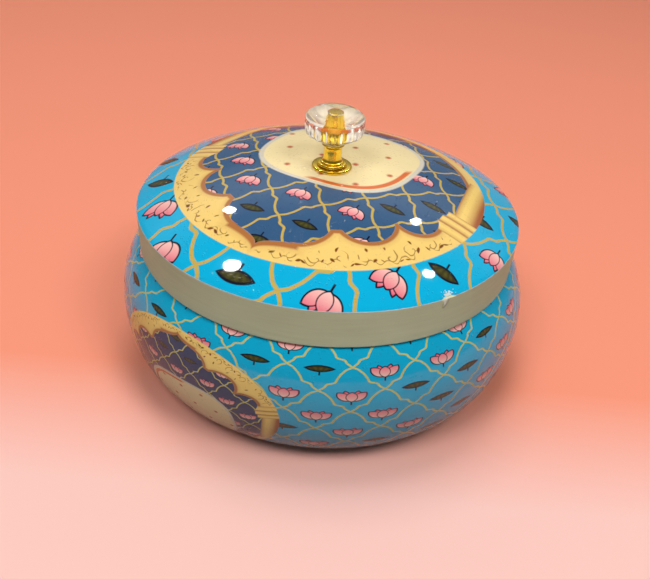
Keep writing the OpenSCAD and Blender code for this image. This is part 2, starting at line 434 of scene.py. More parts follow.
for name, (px, py, size) in SPOTS.items():
    ray = pixel_ray(px, py)
    p = on_dome(ray)
    normal = dome_normal(p.x, p.y)
    away = ray - 2 * ray.dot(normal) * normal
    place = p * MM + away * SPOT_FAR
    lamp(name, place, p * MM, size, SPOT_GLARE * size ** 2, SPOT)
    print(name, "hangs at", [round(c, 2) for c in place])
for name, (place, size, power, reaches) in ROOM_LAMPS.items():
    lamp(name, Vector(place), BOX_MIDDLE, size, power, reaches)

# %% [markdown]
# ## The printed lattice
# The print is a net of ogee lines, each mesh of which holds a lotus or a lily
# pad. In such a net every line runs from one crossing down to the next, so
# one short path, drawn once in a Float Curve and folded over and over, is the
# whole net. Distances to it come from reading the path both ways.

# %% Net
NET_PATH = [(0, 0), (.19, .095), (.36, .286), (.46, .476), (.51, .63),
            (.67, .68), (.77, .71), (.81, .82), (.87, .88), (1, 1)]
NET_PATH_BACK = [(down, across) for across, down in NET_PATH]
HALF_W, HALF_H = 19.7, 23.0


def net_distance(f, x, y):
    """Distance in mm to the net. x and y count half meshes, y downwards."""
    row = y.math("FLOOR")
    fall = y.math("FRACT")
    across = (x + row).math("PINGPONG", 1.0)
    upright = abs(fall - f.curve(NET_PATH, across)) * HALF_H
    level_off = abs(across - f.curve(NET_PATH_BACK, fall)) * HALF_W
    slant = f.pair(upright, level_off).vector_math("LENGTH")
    return upright * level_off / slant.most(0.001)


def mesh_centre(x, y):
    """The middle of the mesh a point is in, in the same half meshes."""
    p = ((x + y) * 0.5).math("FLOOR") * 2 + 1
    q = ((x - y) * 0.5).math("FLOOR") * 2 + 1
    return (p + q) * 0.5, (p - q) * 0.5


print("net of", len(NET_PATH), "points in a path")

# %% [markdown]
# ## Lotus and lily pad
# A petal is a vesica, the lens shape where two circles overlap. Its distance
# is one length: from the point, mirrored about the petal's axis, to the
# centre of the circle on the far side. Five petals, three of them unlike, make
# the lotus. The lily pad seen from the side is one wide flat vesica.

# %% Petals
LOTUS_DARK, LOTUS_PALE, LOTUS_TIP = ink(20, 20, 40), ink(255, 200, 192), ink(238, 98, 126)
LEAF_GREEN, LEAF_LIGHT = ink(46, 48, 18), ink(96, 92, 40)
BLUR = 0.4
OUTLINE = 0.56
LEAF_LIFT, LOTUS_SINK = -0.6, 3.0       # from the middle of the mesh
LEAF_STEM, LOTUS_STEM = 4.2, 7.4        # from the motif down to its stem
STEM_HALF_W, STEM_HALF_H = 0.55, 2.1


def petal(f, place, middle, lean, long, wide):
    """Distance to a petal. lean is in degrees from upright."""
    turned = f.add("ShaderNodeMapping", {"vector_type": "TEXTURE"},
                   {"Vector": place, "Location": (*middle, 0),
                    "Rotation": (0, 0, -math.radians(lean))})
    round_r = (long ** 2 + wide ** 2) / (2 * wide)
    folded = turned.vector_math("ABSOLUTE")
    return folded.vector_math("DISTANCE", (wide - round_r, 0, 0)) - round_r


def motif(f, right, up, is_lotus):
    """How far a motif covers a point, and its colour there. right and up are
    in mm from the middle of the mesh."""
    low = up + f.choose(LEAF_LIFT, LOTUS_SINK, is_lotus)
    mirrored = f.pair(abs(right), low)
    peeping = petal(f, mirrored, (2.9, 1.0), 14, 4.6, 2.0)
    outer = petal(f, mirrored, (4.6, -0.7), 42, 5.8, 3.2)
    centre = petal(f, mirrored, (0, -0.9), 0, 4.9, 3.4)
    filled = (peeping + OUTLINE / 2).inside(BLUR)
    for lens in (outer, centre):
        filled = (filled * (lens - OUTLINE / 2).outside(BLUR)
                  + (lens + OUTLINE / 2).inside(BLUR))
    lotus = outer.least(peeping).least(centre)
    leaf = petal(f, mirrored, (0, 0), 90, 8.8, 2.7)
    shape = f.choose(leaf, lotus, is_lotus)
    filled = f.choose((leaf + OUTLINE).inside(BLUR), filled, is_lotus)
    stem_low = low + f.choose(LEAF_STEM, LOTUS_STEM, is_lotus)
    stem = (abs(right) - STEM_HALF_W).most(abs(stem_low) - STEM_HALF_H)
    covered = (shape - OUTLINE).least(stem).inside(BLUR)
    veins = (right / (low + 6.0) * 11.0).math("SINE")
    green = f.blend(LEAF_GREEN, LEAF_LIGHT, (veins * 0.25 + 0.45) * (leaf * -0.5))
    pink = f.blend(LOTUS_PALE, LOTUS_TIP, low * 0.11 + 0.46)
    colour = f.blend(green, pink, is_lotus)
    return covered, f.blend(LOTUS_DARK, colour, filled)


print("lotus and lily pad drawn with outlines", OUTLINE, "mm wide")

# %% [markdown]
# ## The medallion
# Set into the net is a round medallion: a cream ring with brown scrollwork, a
# cusped arch on two columns, and behind the arch a navy field with a smaller
# net. Both the lid and the bowl carry the same print, so it is drawn once,
# from two coordinates: a across and b up, in mm on the lid. The arch's edge is
# the union of circles with a keel at the top. Being a distance, the same
# number also gives its brown lip.

# %% The arch
RING_R, FIELD_LOW_R = 77.5, 69
FIELD_R = 54.5
# The arch's smaller circles: how far to the side, how high, and the radius
LOBES = [(11, 49.5, 14.5), (36, 34, 13.3), (53, 16, 11)]
KEEL_TIP, KEEL_LOW, KEEL_HALF, KEEL_FLARE = 71.5, 49, 14, 1.95
COLUMN_SIDE, COLUMN_LEAN, COLUMN_FOOT, COLUMN_W = 66, 0.16, -42, 11.0
CAPITAL_LOW, CAPITAL_HIGH = -2.0, 15.0
# Each roll of a capital: the height it starts at, and how far it stands out
CAPITAL_STEPS = [(-2.0, 3.0), (2.8, 1.3), (8.4, 2.0)]


def arch_distance(f, side, b, rho):
    """Distance in mm to the navy field, and where the column's edge is."""
    spot = f.pair(side, b)
    field = rho - FIELD_R
    for x, y, r in LOBES:
        field = field.least(spot.vector_math("DISTANCE", (x, y, 0)) - r)
    keel = (b + side.math("SQRT") * KEEL_FLARE - KEEL_TIP) * 0.7
    field = field.least(keel.most((side - KEEL_HALF) * 0.5).most(KEEL_LOW - b))
    column = COLUMN_SIDE + b.least(0.0) * COLUMN_LEAN
    for level, outwards in CAPITAL_STEPS:
        column = column - (b - level).outside(0.5) * outwards
    low = (side - column).most(b - CAPITAL_HIGH).most(rho - FIELD_LOW_R)
    return field.least(low), column


print("medallion ring", RING_R, "mm in radius,", 2 * len(LOBES) + 1, "cusped lobes")

# %% [markdown]
# ## Scrollwork
# Thin brown curls and leaves run round the ring. They are spirals, one to
# every few degrees and mirrored in turn, joined by a wavy vine. Noise bends
# them and lets them fade, as a fine drawn line does in print.

# %% Scrollwork
CURL_R, CURL_STEP = 71.5, 9.0
CURL_PITCH, CURL_REACH, CURL_HALF, VINE_HALF = 4.2, 3.6, 0.2, 0.18
CURL_SHAKE, CURL_DRIFT = 3.4, 4.0
SCROLL_LEAVES = [((-4.2, 3.0), 66), ((3.4, 1.4), -35), ((1.2, -4.4), 20)]
SCROLL_LEAF_LONG, SCROLL_LEAF_WIDE = 1.3, 0.5
SCROLL_LOW, SCROLL_OFF_LIP = 17, 4.0    # lowest b, and the gap to the arch


def scrollwork(f, a, b, rho):
    """1 on the brown curls that run round the ring."""
    shaky, patchy = f.noise(170.0, 1.0), f.noise(110.0, 0.0)
    turn = a.math("ARCTAN2", b) * math.degrees(1)
    along = (turn.math("PINGPONG", CURL_STEP) - CURL_STEP / 2) * math.radians(CURL_R)
    along = along + shaky * CURL_SHAKE - CURL_SHAKE / 2
    out = rho - CURL_R + patchy * CURL_DRIFT - CURL_DRIFT / 2
    reach = f.pair(along, out).vector_math("LENGTH")
    wind = along.math("ARCTAN2", out) / math.tau + reach / CURL_PITCH
    curl = abs(wind.math("FRACT") - 0.5) * CURL_PITCH - CURL_HALF
    curl = curl.most(reach - CURL_REACH)
    vine = abs(out + (along * 0.9).math("SINE") * 1.4 - 2.6) - VINE_HALF
    faint = (shaky - 0.54).most(0.0) * 4.0
    drawn = (curl.least(vine) + faint).inside(0.5)
    for middle, lean in SCROLL_LEAVES:
        leaf = petal(f, f.pair(along, out), middle, lean,
                     SCROLL_LEAF_LONG, SCROLL_LEAF_WIDE)
        drawn = drawn.most((leaf - (patchy - 0.5) * 1.2).inside(0.4))
    return drawn


print("a curl every", CURL_STEP, "degrees of the ring")

# %% [markdown]
# ## The cream ring, its columns and the panel
# The columns look round because shade runs across them, light on one side and
# brown on the other, and the rolls of a capital are shaded the same way in
# height. Each shade is a Float Curve, which is easier to adjust than a formula
# would be. The panel in the middle is plain cream with a hem, a short orange
# line and small red dots in staggered rows.

# %% Ring and panel
CREAM, SHADE, SCROLL_INK = ink(252, 214, 124), ink(170, 92, 46), ink(126, 70, 22)
COLUMN_LIGHT = ink(255, 218, 122)
# Shade along the rolls of a capital and across a column: 0 light, 1 dark
CAPITAL = [(0, .9), (.05, .25), (.13, .0), (.22, .35), (.27, .95), (.31, .95),
           (.35, .15), (.44, .0), (.55, .35), (.6, .95), (.64, .95), (.68, .15),
           (.8, .0), (.93, .3), (1, .9)]
SHAFT = [(0, .9), (.1, .4), (.3, .0), (.48, .05), (.75, .5), (.92, .9), (1, 1)]
CLOTH, HEM = ink(253, 232, 176), ink(222, 214, 196)
DOT_INK, CLOTH_LINE = ink(206, 106, 62), ink(226, 112, 48)
PANEL_MIDDLE, PANEL_HALF_W, PANEL_HALF_H = (-3, -18, 0), 38, 36
PANEL_POWER, PANEL_ROOT = 2.7, 0.37
DOT_STEP, DOT_R, DOT_SHIFT = 19.0, 0.075, 0.55


def cream_ring(f, a, b, rho, field, column):
    """Colour of the ring: cream, the arch's lip, the curls and the columns."""
    side = abs(a)
    lip = (field - 2.2).inside(0.9) * 0.66 + (field - 3.6).inside(3.0) * 0.22
    cream = f.blend(CREAM, SHADE, lip)
    cream = f.blend(cream, SCROLL_INK, scrollwork(f, a, b, rho)
                    * (b - SCROLL_LOW).outside(1.0)
                    * (field - SCROLL_OFF_LIP).outside(1.0))
    shaft = f.curve(SHAFT, (side - column) / COLUMN_W)
    rolls = f.curve(CAPITAL, (b - CAPITAL_LOW) / (CAPITAL_HIGH - CAPITAL_LOW))
    moulding = f.choose(shaft, rolls * 0.8, (b - CAPITAL_LOW).outside(0.4))
    carved = f.blend(COLUMN_LIGHT, SHADE, moulding)
    on_column = ((b - CAPITAL_HIGH).inside(0.6) * (side - column).outside(0.6)
                 * (b - COLUMN_FOOT).outside(1.0))
    return f.blend(cream, carved, on_column)


def with_panel(f, base, a, b, in_field):
    """The colour base with the plain panel laid over it."""
    spread = f.add("ShaderNodeMapping", {"vector_type": "TEXTURE"},
                   {"Vector": f.pair(a, b), "Location": PANEL_MIDDLE,
                    "Scale": (PANEL_HALF_W, PANEL_HALF_H, 1)}).vector_math("ABSOLUTE")
    u, v, _ = f.parts(spread)
    squarish = u.math("POWER", PANEL_POWER) + v.math("POWER", PANEL_POWER)
    panel = (squarish.math("POWER", PANEL_ROOT) - 1) * PANEL_HALF_H
    base = f.blend(base, HEM, (panel - 2.2).inside(0.8) * in_field)
    row = b / DOT_STEP
    stagger = row.math("FLOOR") * 0.5 + a / DOT_STEP + DOT_SHIFT
    dots = f.pair(stagger.math("FRACT") - 0.5,
                  row.math("FRACT") - 0.5).vector_math("LENGTH")
    cloth = f.blend(CLOTH, DOT_INK, (dots - DOT_R).inside(0.07))
    cloth = f.blend(cloth, CLOTH_LINE, (abs(panel + 2.0) - 1.3).inside(0.7)
                    * (a + b - 12).outside(4.0))
    return f.blend(base, cloth, panel.inside(0.5) * in_field)


print("panel", 2 * PANEL_HALF_W, "by", 2 * PANEL_HALF_H, "mm")

# %% [markdown]
# ## The whole print
# The layers are blended in the order in which they would be printed: ground,
# net, motifs, ring and panel. Behind the arch the net is smaller, so the
# coordinates are chosen first and one net is drawn, not two. Which meshes hold
# a lotus could be a random choice. A sum of waves looks as mixed, and round
# the bowl it can be made to meet itself.

# %% The print from its layers
NAVY_MESH_W, NAVY_MESH_H, NAVY_TOP = 13.9, 16.75, 67.8
NAVY_WAVES = [(0.74, 1.57, 3.05), (2.8, 3.15, 3.85), (0, 0, 0)]


def lotus_or_leaf(f, middle_x, middle_y, behind, waves):
    """1 for a lotus and 0 for a leaf, from waves read in a mesh's middle."""
    spot = f.add("ShaderNodeCombineXYZ", inputs={0: middle_x, 1: middle_y, 2: 1.0})
    chance = 0.0
    for outer, inner in zip(waves, NAVY_WAVES):
        wave = f.add("ShaderNodeMix", {"data_type": "VECTOR"},
                     {0: behind, 4: outer, 5: inner}, 1)
        chance = spot.vector_math("DOT_PRODUCT", wave).math("SINE") + chance
    return chance.math("GREATER_THAN", 0.0)


def printed_colour(f, inks, line, drop, outer_x, outer_y, a, b, waves):
    """Colour of the print at a point of the medallion and of the outer net.
    inks are the ground, the navy and the net, line is half a net line's width,
    and drop is how far the motifs sit below the middles of their meshes."""
    ground, navy, net_ink = inks
    rho = f.pair(a, b).vector_math("LENGTH")
    field, column = arch_distance(f, abs(a), b, rho)
    in_ring = (rho - RING_R).inside(0.5)
    in_field = field.inside(0.4) * in_ring
    behind = field.math("LESS_THAN", 0.0)

    x = f.choose(outer_x, a / NAVY_MESH_W + 1, behind)
    y = f.choose(outer_y, (NAVY_TOP - b) / NAVY_MESH_H, behind)
    middle_x, middle_y = mesh_centre(x, y)
    is_lotus = lotus_or_leaf(f, middle_x, middle_y, behind, waves)
    covered, motif_ink = motif(f, (x - middle_x) * HALF_W,
                               (middle_y - y) * HALF_H + drop, is_lotus)

    base = f.blend(ground, navy, in_field)
    base = f.blend(base, net_ink, (net_distance(f, x, y) - line).inside(BLUR))
    base = f.blend(base, motif_ink, covered)
    base = f.blend(base, cream_ring(f, a, b, rho, field, column),
                   in_ring * (1 - in_field))
    return with_panel(f, base, a, b, in_field)


print("print layered: ground, net, motifs, ring, panel")

# %% [markdown]
# ## Lacquer
# Several coats of clear gloss lie over the paper. A coat layer over a matt one
# is a way to build it. The print is smooth, so one glossy surface looks the
# same and renders faster. Slow ripples show that there is paper under the
# gloss, and a few raised specks are dust that settled while it dried.

# %% Lacquer
RIPPLE_PER_M, RIPPLE_DEEP = 70.0, 0.0006
DUST_PER_M, DUST_HIGH, DUST_R = 620.0, 0.00016, 0.22
LACQUER_IOR = 1.5


def lacquered(f, colour):
    """Clear gloss over the print: ripples of the paper and specks of dust."""
    ripple = f.relief(f.noise(RIPPLE_PER_M, 2.0), RIPPLE_DEEP, 0.16)
    dust = f.add("ShaderNodeTexVoronoi",
                 inputs={"Vector": f.place, "Scale": DUST_PER_M})
    sparse = (f.noise(140.0, 2.0) - 0.5).outside(0.05)
    specks = f.relief((dust - DUST_R).inside(0.24) * sparse, DUST_HIGH, 1.0, ripple)
    haze = f.noise(160.0, 3.0)
    return f.coat(Base_Color=colour, Roughness=haze * 0.05 + 0.02,
                  IOR=LACQUER_IOR, Normal=specks)


print("lacquer ripples", RIPPLE_DEEP / MM, "mm deep")

# %% [markdown]
# ## Turned pieces
# Bowl, dome, band and knob are round, so each is a section turned about the
# axis. A modifier or the Spin tool could do it; working out the points in code
# keeps every ring where the CAD's section has it, and lets a ring carry a
# number, such as how far down the bowl it lies, for the print to read.

# %% Turn a section
def turned(name, section, segments, body, slot, replaces, finish,
           reach=None, sharp=35.0, run=None, carve=None):
    """A closed mesh from a closed section of (radius, height) in mm. reach
    moves a ring's points as they are made, and carve works on the object."""
    verts, rings = [], []
    for r, z in section:
        if r < 1e-6:
            rings.append([len(verts)] * segments)
            verts.append((0, 0, z * MM))
            continue
        rings.append(list(range(len(verts), len(verts) + segments)))
        for k in range(segments):
            angle = math.tau * k / segments
            rr, zz = (r, z) if reach is None else reach(r, z, angle)
            verts.append((rr * MM * math.cos(angle), rr * MM * math.sin(angle), zz * MM))
    faces = []
    for low, high in zip(rings, rings[1:] + rings[:1]):
        for k in range(segments):
            j = (k + 1) % segments
            face = list(dict.fromkeys([low[k], low[j], high[j], high[k]]))
            if len(face) > 2:
                faces.append(face)
    mesh = bpy.data.meshes.new(name)
    mesh.from_pydata(verts, [], faces)
    mesh.update()
    if sum(p.area * p.normal.dot(p.center) for p in mesh.polygons) < 0:
        mesh.flip_normals()
    if run:
        numbers = mesh.attributes.new("run", "FLOAT", "POINT")
        for ring, value in zip(rings, run):
            for index in set(ring):
                numbers.data[index].value = value
    mesh.materials.append(finish)
    thing = bpy.data.objects.new(name, mesh)
    bpy.context.scene.collection.objects.link(thing)
    if carve:
        carve(thing)
        mesh = thing.data
    mesh.shade_smooth()
    mesh.set_sharp_from_angle(angle=math.radians(sharp))
    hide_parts(*replaces)
    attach(thing, body)
    print(name, "has", len(mesh.polygons), "faces")


# %% [markdown]
# ## The lid's print
# On the lid the print lies turned, so its own up points to the front left.
# The paper was stretched over the edge and went on a little askew, which
# widens the net at the sides and shears it. At one place of the edge, seen in
# front, the lacquer has chipped: white flakes round a bare patch.

# %% Lid print
# a and b in mm: a thousand times two directions, turned by about 26 degrees
LID_ACROSS = (899.0, -438.0, 0.0)
LID_UP = (-438.0, -899.0, 0.0)
LID_INKS = ink(0, 181, 229), ink(52, 92, 134), ink(206, 176, 84)
LID_WAVES = [(1.73, 2.97, 2.82), (3.1, 0.87, 6.2)]
LID_LINE, LID_NET_TOP = 0.82, 88
LID_STRETCH = 0.094 / 90 ** 4
LID_A_SKEW, LID_A_SHIFT = 0.0003, 1.4
LID_B_SCALE, LID_B_SKEW, LID_B_SHIFT = 0.927, 0.00048, 6.2
# Pale paper for the chip and the cut edge; on the edge it is also a painted highlight
# where the rim catches light
PALE_PAPER_AND_RIM_SHEEN, EDGE_SHOWS = ink(214, 228, 228), 0.1
CHIP_TURN, CHIP_HALF, CHIP_DEEP = math.radians(-55.0), math.radians(2.4), 1.3
FLAKES_THIN, FLAKES_NEAR = 0.11, 0.22
BARE_R, BARE_RAGGED = 0.9, 2.2

lid_print = Finish("lid_print_lacquered")
a = lid_print.place.vector_math("DOT_PRODUCT", LID_ACROSS)
b = lid_print.place.vector_math("DOT_PRODUCT", LID_UP)
a_squared = a * a
stretched = a * (a_squared * a_squared).math("MULTIPLY_ADD", LID_STRETCH, 1.0)
skew = a * b
outer_a = stretched - skew * LID_A_SKEW - LID_A_SHIFT
outer_b = b * LID_B_SCALE + skew * LID_B_SKEW + LID_B_SHIFT
lid_colour = printed_colour(lid_print, LID_INKS, LID_LINE, 0.0, outer_a / HALF_W + 1,
                            (LID_NET_TOP - outer_b) / HALF_H, a, b, LID_WAVES)

chip_place = [LID_R * math.cos(CHIP_TURN) * MM, LID_R * math.sin(CHIP_TURN) * MM,
              EDGE_H * MM]
from_chip = lid_print.place.vector_math("DISTANCE", chip_place) / MM
flakes = (from_chip * FLAKES_THIN - lid_print.noise(1100.0, 1.0)
          + FLAKES_NEAR).inside(0.05)
bare = (from_chip - lid_print.noise(600.0, 1.0) * BARE_RAGGED - BARE_R).inside(0.3)
height = lid_print.parts(lid_print.place)[2]
# The bead's lower side and the cut edge are pale: the paper's own edge, and a painted
# highlight where the rim catches light
pale_edge_and_sheen = (height - (EDGE_H - EDGE_SHOWS) * MM).inside(0.0001)
lid_colour = lid_print.blend(lid_colour, PALE_PAPER_AND_RIM_SHEEN, pale_edge_and_sheen.most(flakes).most(bare))
lacquered(lid_print, lid_colour)
print("lid print has", len(lid_print.tree.nodes), "nodes")

# %% [markdown]
# ## The lid's skin
# The skin is a thin dome with a hole for the knob's screw. Its outer edge ends
# in a small bead of lacquer, and is drawn in where it has chipped. Displacing
# a finished mesh would move its inner face too, so the rings' points are
# drawn in as they are made.

# %% Lid skin
LID_RINGS, LID_SEGMENTS = 44, 576
HOLE_R = 1.8
BEAD = 0.35


def chipped(r, z, turn):
    """Draws the skin's edge in where the lacquer has come off."""
    off = abs(turn - CHIP_TURN % math.tau) / CHIP_HALF
    if off >= 1 or r < LID_R - 4:
        return r, z
    ragged = 0.75 + 0.25 * math.sin(off * 9) * math.cos(turn * 700)
    limit = LID_R - CHIP_DEEP * math.sqrt(1 - off ** 2) * ragged
    return min(r, limit), z


top = [HOLE_R + (LID_R - BEAD - HOLE_R) * i / LID_RINGS for i in range(LID_RINGS + 1)]
slope_at_edge = DOME_RISE * DOME_POWER / LID_R
edge_low = EDGE_H - PRINT_T / math.hypot(1, slope_at_edge)
section = [(r, dome_height(r)) for r in top]
for tilt in (50, 25, 0):
    section.append((LID_R - BEAD + BEAD * math.cos(math.radians(tilt)),
                    EDGE_H - BEAD * (1 - math.sin(math.radians(tilt)))))
section.append((LID_R, edge_low))
section += [(r, dome_height(r) - PRINT_T) for r in reversed(top)]
turned("lid_skin", section, LID_SEGMENTS, "lid", "printed_skin", ["lid_print"],
       lid_print.material, reach=chipped)

# %% [markdown]
# ## The chip's loose flap
# At the chip a sliver of paper has come away and hangs over the band. It is a
# few faces of thin sheet, bent outwards, with its wall from Solidify.

# %% Flap
FLAP_HALF, FLAP_LONG, FLAP_ROWS, FLAP_T = 1.5, 4.2, 6, 0.25
FLAP_OUT, FLAP_BEND, FLAP_TIP_HALF = 0.55, 2.4, 0.12

flap = bpy.data.meshes.new("lid_flap")
verts, faces = [], []
for i in range(FLAP_ROWS + 1):
    t = i / FLAP_ROWS
    out = LID_R - FLAP_T + FLAP_OUT * math.sin(t * FLAP_BEND)
    for side in (-1, 0, 1):
        wide = FLAP_HALF * (1 - t) ** 0.7 + FLAP_TIP_HALF
        turn = CHIP_TURN + (side * wide - 1.2 - 1.6 * t) / LID_R
        verts.append((out * MM * math.cos(turn), out * MM * math.sin(turn),
                      (EDGE_H - 0.2 - FLAP_LONG * t) * MM))
    if i:
        for k in (0, 1):
            low = (i - 1) * 3 + k
            faces.append((low, low + 3, low + 4, low + 1))
flap.from_pydata(verts, [], faces)
flap.shade_smooth()
flap_sheet = bpy.data.objects.new("lid_flap", flap)
bpy.context.scene.collection.objects.link(flap_sheet)
flap_wall = flap_sheet.modifiers.new("wall", "SOLIDIFY")
flap_wall.thickness, flap_wall.offset = FLAP_T * MM, 0
flap_finish = Finish("paper_torn")
torn = flap_finish.noise(900.0, 3.0)
flap.materials.append(flap_finish.coat(
    Base_Color=flap_finish.blend(ink(214, 208, 186), ink(242, 238, 224), torn),
    Roughness=0.6, Normal=flap_finish.relief(torn, 0.0001, 0.5)))
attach(flap_sheet, "lid")
print("flap hangs", FLAP_LONG, "mm down")

# %% [markdown]
# ## The bowl's print
# Round the bowl the net is counted in degrees, and down it in mm along the
# curve, which each ring of the mesh carries as a number named run. A height
# would squeeze the net where the bowl turns under. The medallion is counted
# the same way from its own middle, and was pasted on a little askew.

# %% Bowl print
BOWL_INKS = ink(0, 178, 224), ink(36, 62, 104), ink(214, 204, 112)
BOWL_LINE, BOWL_MOTIF_DROP = 0.66, 2.2
MESHES_ROUND = 22
HALF_TURNS = 2 * MESHES_ROUND
# Whole numbers of waves round the bowl, so that the pattern meets itself
BOWL_WAVES = [(math.tau * 15 / HALF_TURNS, 2.32, 2.31),
              (math.tau * 15 / HALF_TURNS, 5.35, 2.24),
              (math.tau * 6 / HALF_TURNS, 2.15, 4.73)]
NET_TURN, NET_DROP = 360 / HALF_TURNS, 10.9
NET_TURN_START, NET_DROP_START = -7.4, 13.0
MEDALLION_TURN, MEDALLION_DOWN = -37.3, 44.0
# What a and b gain per degree of turn, per mm down, at the point that the two
# are counted from, and per degree squared
A_BY_TURN, A_BY_DOWN, A_START, A_SAG = -2.78, 0.20, 1.1, 0.0034
B_BY_TURN, B_BY_DOWN, B_START, B_SAG = -0.18, -2.30, 10.0, -0.0122

bowl_print = Finish("bowl_print_lacquered")
x, y, _ = bowl_print.parts(bowl_print.place)
turn = x.math("ARCTAN2", y * -1) * math.degrees(1)
down = bowl_print.add("ShaderNodeAttribute", {"attribute_name": "run"}, output="Fac")
# There is a medallion in front and one behind, so a half turn is folded away
off_turn = (turn - MEDALLION_TURN).math("WRAP", 90.0, -90.0)
off_down = down - MEDALLION_DOWN
turn_squared = off_turn * off_turn
a = off_turn * A_BY_TURN + off_down * A_BY_DOWN + turn_squared * A_SAG + A_START
b = off_turn * B_BY_TURN + off_down * B_BY_DOWN + turn_squared * B_SAG + B_START
lacquered(bowl_print, printed_colour(
    bowl_print, BOWL_INKS, BOWL_LINE, BOWL_MOTIF_DROP,
    (turn - NET_TURN_START) / NET_TURN, (down - NET_DROP_START) / NET_DROP,
    a, b, BOWL_WAVES))
print("bowl print has", len(bowl_print.tree.nodes), "nodes")

# %% [markdown]
# ## The bowl's skin
# The skin follows the bowl's outline from the seat to the foot and turns in
# under it. Its inner face is the outer one moved square to the curve by the
# paper's thickness. Solidify would do that as well, but would also thicken
# the two ends, which have to lie flat on the seat and the base.

# %% Bowl skin
BOWL_RINGS, BOWL_SEGMENTS = 60, 288

angles = [90 - 180 * i / BOWL_RINGS for i in range(BOWL_RINGS + 1)]
outer = [bowl_point(angle) for angle in angles]
run = [0.0]
for here, there in zip(outer, outer[1:]):
    run.append(run[-1] + math.dist(here, there))
inner = []
for i, (r, z) in enumerate(outer):
    before, after = outer[max(i - 1, 0)], outer[min(i + 1, BOWL_RINGS)]
    dr, dz = after[0] - before[0], after[1] - before[1]
    size = math.hypot(dr, dz)
    inner.append((r + PRINT_T * dz / size, z - PRINT_T * dr / size))
inner[0] = (SEAT_R, SEAT_H - PRINT_T)
inner[-1] = (BASE_R, FOOT_H + PRINT_T)
turned_in = BASE_R - TURN_IN
section = outer + [(turned_in, FOOT_H), (turned_in, FOOT_H + PRINT_T)] + inner[::-1]
runs = run + [run[-1] + TURN_IN, run[-1] + TURN_IN] + run[::-1]
turned("bowl_skin", section, BOWL_SEGMENTS, "bowl", "printed_skin", ["bowl_print"],
       bowl_print.material, run=runs)
print("the bowl's print runs", round(run[-1], 1), "mm down")

# %% [markdown]
# ## Pulp, lining and board
# Bare pulp is matt and a little streaky where it was smoothed by hand. The
# streaks run round the band, so the noise is squeezed flat in height. The
# lining is brushed paper, and the base is a pressed board under dark lacquer.
# A scan of each could be laid on. Noise needs no seam and holds at any size.

# %% Paper finishes
def pulp_finish(name, light, dark, streaks):
    """Matt pulp: streaks from smoothing, smudges and short fibres."""
    f = Finish(name)
    streaky = f.noise(40.0, 5.0, stretch=(1, 1, streaks), rough=0.6)
    fibres = f.noise(1400.0, 3.0)
    smudges = f.noise(28.0, 3.0)
    colour = f.blend(dark, light, streaky * 0.8 + smudges * 0.8 - 0.3)
    colour = f.blend(colour, dark, (fibres - 0.6) * 2.0)
    bump = f.relief(streaky, 0.0003, 0.2)
    bump = f.relief(fibres, 0.00012, 0.35, bump)
    return f.coat(Base_Color=colour, Roughness=fibres * 0.2 + 0.42, Normal=bump)


def lining_finish():
    """Brown paper with the strokes of the brush that varnished it."""
    f = Finish("lining_paper_brushed")
    strokes = f.noise(90.0, 4.0, stretch=(1, 1, 5))
    colour = f.blend(ink(150, 106, 48), ink(188, 140, 70), strokes)
    bump = f.relief(strokes, 0.0003, 0.3)
    return f.coat(Base_Color=colour, Roughness=strokes * 0.2 + 0.3, Normal=bump)


def board_finish():
    """Pressed board under dark lacquer."""
    f = Finish("base_board_lacquered")
    grain = f.noise(700.0, 4.0)
    colour = f.blend(ink(30, 27, 25), ink(58, 52, 46), grain)
    return f.coat(Base_Color=colour, Roughness=grain * 0.25 + 0.35,
                  Normal=f.relief(grain, 0.0002, 0.4))


band = pulp_finish("bare_band_smoothed", ink(230, 234, 198), ink(204, 208, 172), 16)
pulp = pulp_finish("moulded_pulp", ink(186, 160, 120), ink(148, 120, 84), 2)
lining, board = lining_finish(), board_finish()
print("mixed", band.name, pulp.name, lining.name, board.name)

# %% [markdown]
# ## Gold and steel
# The knob's base and post are plated and polished on the lathe, which leaves
# rings too fine to see one by one but wide enough to soften a highlight. An
# anisotropic shader would do; a very shallow bump squeezed in height is
# simpler. Wear changes the colour and the polish a little from place to place.

# %% Metal finishes
RINGS_PER_M, RINGS_DEEP = 900.0, 0.00003


def metal_finish(name, light, dark, rough):
    """Turned and plated metal: fine rings from the lathe, a little wear."""
    f = Finish(name)
    rings = f.noise(RINGS_PER_M, 2.0, stretch=(0.15, 0.15, 3))
    wear = f.noise(300.0, 3.0)
    colour = f.blend(dark, light, wear * 1.4)
    return f.coat(Base_Color=colour, Metallic=1.0, Roughness=wear * 0.1 + rough,
                  Normal=f.relief(rings, RINGS_DEEP, 0.3))


gold = metal_finish("gold_plate_polished", ink(255, 224, 90), ink(246, 200, 56), 0.10)
steel = metal_finish("screw_steel_bright", ink(200, 200, 205), ink(150, 150, 156), 0.2)
print("mixed", gold.name, steel.name)

# %% [markdown]
# ## Crystal glass
# The head is cut crystal, clear at its crown and sides. Under the taper
# the glass is made matt white in patches. This is painted light: it stands
# in for the light that cut glass gathers and sends up, which fills the crown
# with white when it is seen from above. Clear glass alone shows only the
# dark floor of the room there, so the underside is a mix of two surfaces,
# patch by patch.

# %% Crystal finish
GLASS_IOR = 1.52
# Below TAPER_TOP, patches of matt white are painted light for what the cut glass gathers
TAPER_TOP, PAINTED_LIGHT_SHARE = 127.0, 0.75
BORE_CLEAR = 0.8                        # mm round the bore that stay clear
LIGHT_PATCHES_PER_M, LIGHT_PATCH_LEAST = 130.0, 0.3


